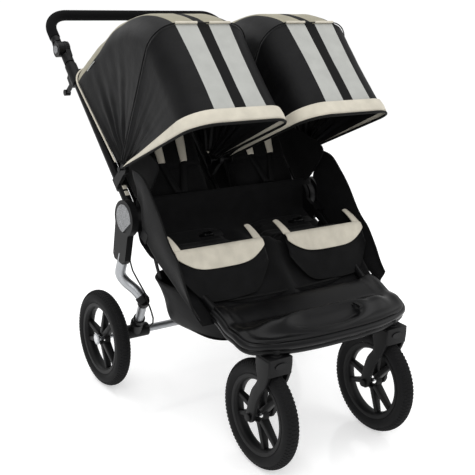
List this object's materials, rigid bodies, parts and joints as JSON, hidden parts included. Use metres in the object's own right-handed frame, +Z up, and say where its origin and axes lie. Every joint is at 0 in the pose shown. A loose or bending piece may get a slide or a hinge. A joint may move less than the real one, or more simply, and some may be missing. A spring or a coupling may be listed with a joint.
{
  "type": "double jogging stroller",
  "caption": "Side-by-side jogging stroller with hoods, reclining seats, swivel front wheels, foot tray, basket and a folding frame.",
  "frame": {"origin": "centre of the footprint box, on the ground under the wheels", "axes": "+Z up, the stroller faces -Y, +X is its left side as seen by a child in it"},
  "size_m": [0.742, 1.2613, 1.1709],
  "materials": {
    "black_anodised_tube": "satin black anodised aluminium tube",
    "silver_tube": "satin anodised aluminium",
    "steel_pin": "plain turned steel",
    "black_moulding": "moulded black nylon, fine grain",
    "grey_moulding": "speckled grey moulding",
    "black_nylon_cloth": "black coated woven nylon",
    "cream_cloth": "cream woven cloth",
    "foam": "closed-cell foam grip",
    "tyre_rubber": "black air tyre, fine block tread",
    "cable_sleeve": "black cable sleeve"
  },
  "bodies": {
    "front_frame": {"side_tubes": "black_anodised_tube", "front_cross_tube": "black_anodised_tube", "foot_tray": "black_moulding", "caster_housings": "black_moulding", "hub_brackets": "black_moulding", "fold_shaft": "steel_pin", "basket": "black_nylon_cloth", "seat_base": "black_nylon_cloth", "seat_pads": "black_nylon_cloth", "side_wings": "black_nylon_cloth", "harness_buckles": "black_moulding"},
    "tray_knob": {"tray_latch": "black_moulding"},
    "push_frame": {"push_tubes": "black_anodised_tube", "upper_cross_bar": "black_anodised_tube", "centre_strut": "black_anodised_tube", "handle_knuckles": "black_moulding", "canopy_clips": "black_moulding", "hood_pins": "black_moulding", "brake_housing": "black_moulding", "upper_wings": "black_nylon_cloth", "canopy_rear_right": "black_nylon_cloth", "canopy_rear_left": "black_nylon_cloth"},
    "handlebar": {"handlebar_tube": "black_anodised_tube", "foam_grip": "foam"},
    "handle_button_right": {"handle_button_right": "grey_moulding"},
    "handle_button_left": {"handle_button_left": "grey_moulding"},
    "brake_lever": {"brake_lever": "black_moulding"},
    "rear_leg": {"leg_covers": "black_moulding", "hub_badges": "grey_moulding", "leg_tubes": "silver_tube", "suspension_struts": "silver_tube", "axle_fittings": "black_moulding", "axle_tube": "silver_tube", "brake_cable": "cable_sleeve"},
    "canopy_mid_right": {"canopy_mid_right": "black_nylon_cloth", "ridge_bow_right": "black_anodised_tube"},
    "canopy_front_right": {"canopy_front_right": "black_nylon_cloth", "front_bow_right": "black_anodised_tube"},
    "seat_back_right": {"seat_back_right": "black_nylon_cloth", "harness_right": "cream_cloth"},
    "rear_wheel_right": {"rear_tyre_right": "tyre_rubber", "rear_rim_right": "black_moulding"},
    "rear_release_right": {"rear_release_right": "steel_pin"},
    "caster_right": {"fork_right": "black_moulding", "front_axle_right": "steel_pin"},
    "front_wheel_right": {"front_tyre_right": "tyre_rubber", "front_rim_right": "black_moulding"},
    "canopy_mid_left": {"canopy_mid_left": "black_nylon_cloth", "ridge_bow_left": "black_anodised_tube"},
    "canopy_front_left": {"canopy_front_left": "black_nylon_cloth", "front_bow_left": "black_anodised_tube"},
    "seat_back_left": {"seat_back_left": "black_nylon_cloth", "harness_left": "cream_cloth"},
    "rear_wheel_left": {"rear_tyre_left": "tyre_rubber", "rear_rim_left": "black_moulding"},
    "rear_release_left": {"rear_release_left": "steel_pin"},
    "caster_left": {"fork_left": "black_moulding", "front_axle_left": "steel_pin"},
    "front_wheel_left": {"front_tyre_left": "tyre_rubber", "front_rim_left": "black_moulding"}
  },
  "joints": [
    {"name": "fold", "type": "hinge", "parent": "front_frame", "child": "push_frame", "pos_m": [0, 0.03032, 0.58], "axis": [-1, 0, 0], "range_deg": [0, 134]},
    {"name": "leg_fold", "type": "hinge", "parent": "front_frame", "child": "rear_leg", "pos_m": [0, 0.03032, 0.58], "axis": [-1, 0, 0], "range_deg": [0, 49]},
    {"name": "handle_tilt", "type": "hinge", "parent": "push_frame", "child": "handlebar", "pos_m": [0, 0.50593, 1.00824], "axis": [1, 0, 0], "range_deg": [-60, 60]},
    {"name": "parking_brake", "type": "hinge", "parent": "push_frame", "child": "brake_lever", "pos_m": [-0.31, 0.4557, 0.91458], "axis": [-1, 0, 0], "range_deg": [0, 30]},
    {"name": "tray_latch_turn", "type": "hinge", "parent": "front_frame", "child": "tray_knob", "pos_m": [0.092, -0.49168, 0.401], "axis": [0, 0, 1], "range_deg": [0, 90]},
    {"name": "handle_button_right_press", "type": "slide", "parent": "handlebar", "child": "handle_button_right", "axis": [1, 0, 0], "range_m": [0, 0.0025], "stiffness_N_per_m": 400, "springref_m": -0.001},
    {"name": "canopy_right", "type": "hinge", "parent": "push_frame", "child": "canopy_mid_right", "pos_m": [-0.185, 0.07032, 0.715], "axis": [-1, 0, 0], "range_deg": [0, 30]},
    {"name": "canopy_front_right_fold", "type": "hinge", "parent": "canopy_mid_right", "child": "canopy_front_right", "pos_m": [-0.185, 0.07032, 0.715], "axis": [-1, 0, 0], "range_deg": [0, 27]},
    {"name": "recline_right", "type": "hinge", "parent": "push_frame", "child": "seat_back_right", "pos_m": [-0.185, 0.03032, 0.58], "axis": [1, 0, 0], "range_deg": [-35, 0]},
    {"name": "rear_wheel_right_spin", "type": "hinge", "parent": "rear_leg", "child": "rear_wheel_right", "pos_m": [-0.343, 0.16882, 0.1525], "axis": [1, 0, 0], "continuous": true},
    {"name": "rear_release_right_press", "type": "slide", "parent": "rear_wheel_right", "child": "rear_release_right", "axis": [1, 0, 0], "range_m": [0, 0.0025], "stiffness_N_per_m": 400, "springref_m": -0.001},
    {"name": "caster_right_swivel", "type": "hinge", "parent": "front_frame", "child": "caster_right", "pos_m": [-0.205, -0.52418, 0.365], "axis": [0, 0, 1], "continuous": true},
    {"name": "front_wheel_right_spin", "type": "hinge", "parent": "caster_right", "child": "front_wheel_right", "pos_m": [-0.205, -0.47818, 0.1525], "axis": [1, 0, 0], "continuous": true},
    {"name": "handle_button_left_press", "type": "slide", "parent": "handlebar", "child": "handle_button_left", "axis": [-1, 0, 0], "range_m": [0, 0.0025], "stiffness_N_per_m": 400, "springref_m": -0.001},
    {"name": "canopy_left", "type": "hinge", "parent": "push_frame", "child": "canopy_mid_left", "pos_m": [0.185, 0.07032, 0.715], "axis": [-1, 0, 0], "range_deg": [0, 30]},
    {"name": "canopy_front_left_fold", "type": "hinge", "parent": "canopy_mid_left", "child": "canopy_front_left", "pos_m": [0.185, 0.07032, 0.715], "axis": [-1, 0, 0], "range_deg": [0, 27]},
    {"name": "recline_left", "type": "hinge", "parent": "push_frame", "child": "seat_back_left", "pos_m": [0.185, 0.03032, 0.58], "axis": [1, 0, 0], "range_deg": [-35, 0]},
    {"name": "rear_wheel_left_spin", "type": "hinge", "parent": "rear_leg", "child": "rear_wheel_left", "pos_m": [0.343, 0.16882, 0.1525], "axis": [1, 0, 0], "continuous": true},
    {"name": "rear_release_left_press", "type": "slide", "parent": "rear_wheel_left", "child": "rear_release_left", "axis": [-1, 0, 0], "range_m": [0, 0.0025], "stiffness_N_per_m": 400, "springref_m": -0.001},
    {"name": "caster_left_swivel", "type": "hinge", "parent": "front_frame", "child": "caster_left", "pos_m": [0.205, -0.52418, 0.365], "axis": [0, 0, 1], "continuous": true},
    {"name": "front_wheel_left_spin", "type": "hinge", "parent": "caster_left", "child": "front_wheel_left", "pos_m": [0.205, -0.47818, 0.1525], "axis": [1, 0, 0], "continuous": true}
  ],
  "couplings": [
    {"joint": "leg_fold", "follows": "fold", "ratio": 0.36},
    {"joint": "canopy_front_right_fold", "follows": "canopy_right", "ratio": 0.9},
    {"joint": "canopy_front_left_fold", "follows": "canopy_left", "ratio": 0.9}
  ]
}
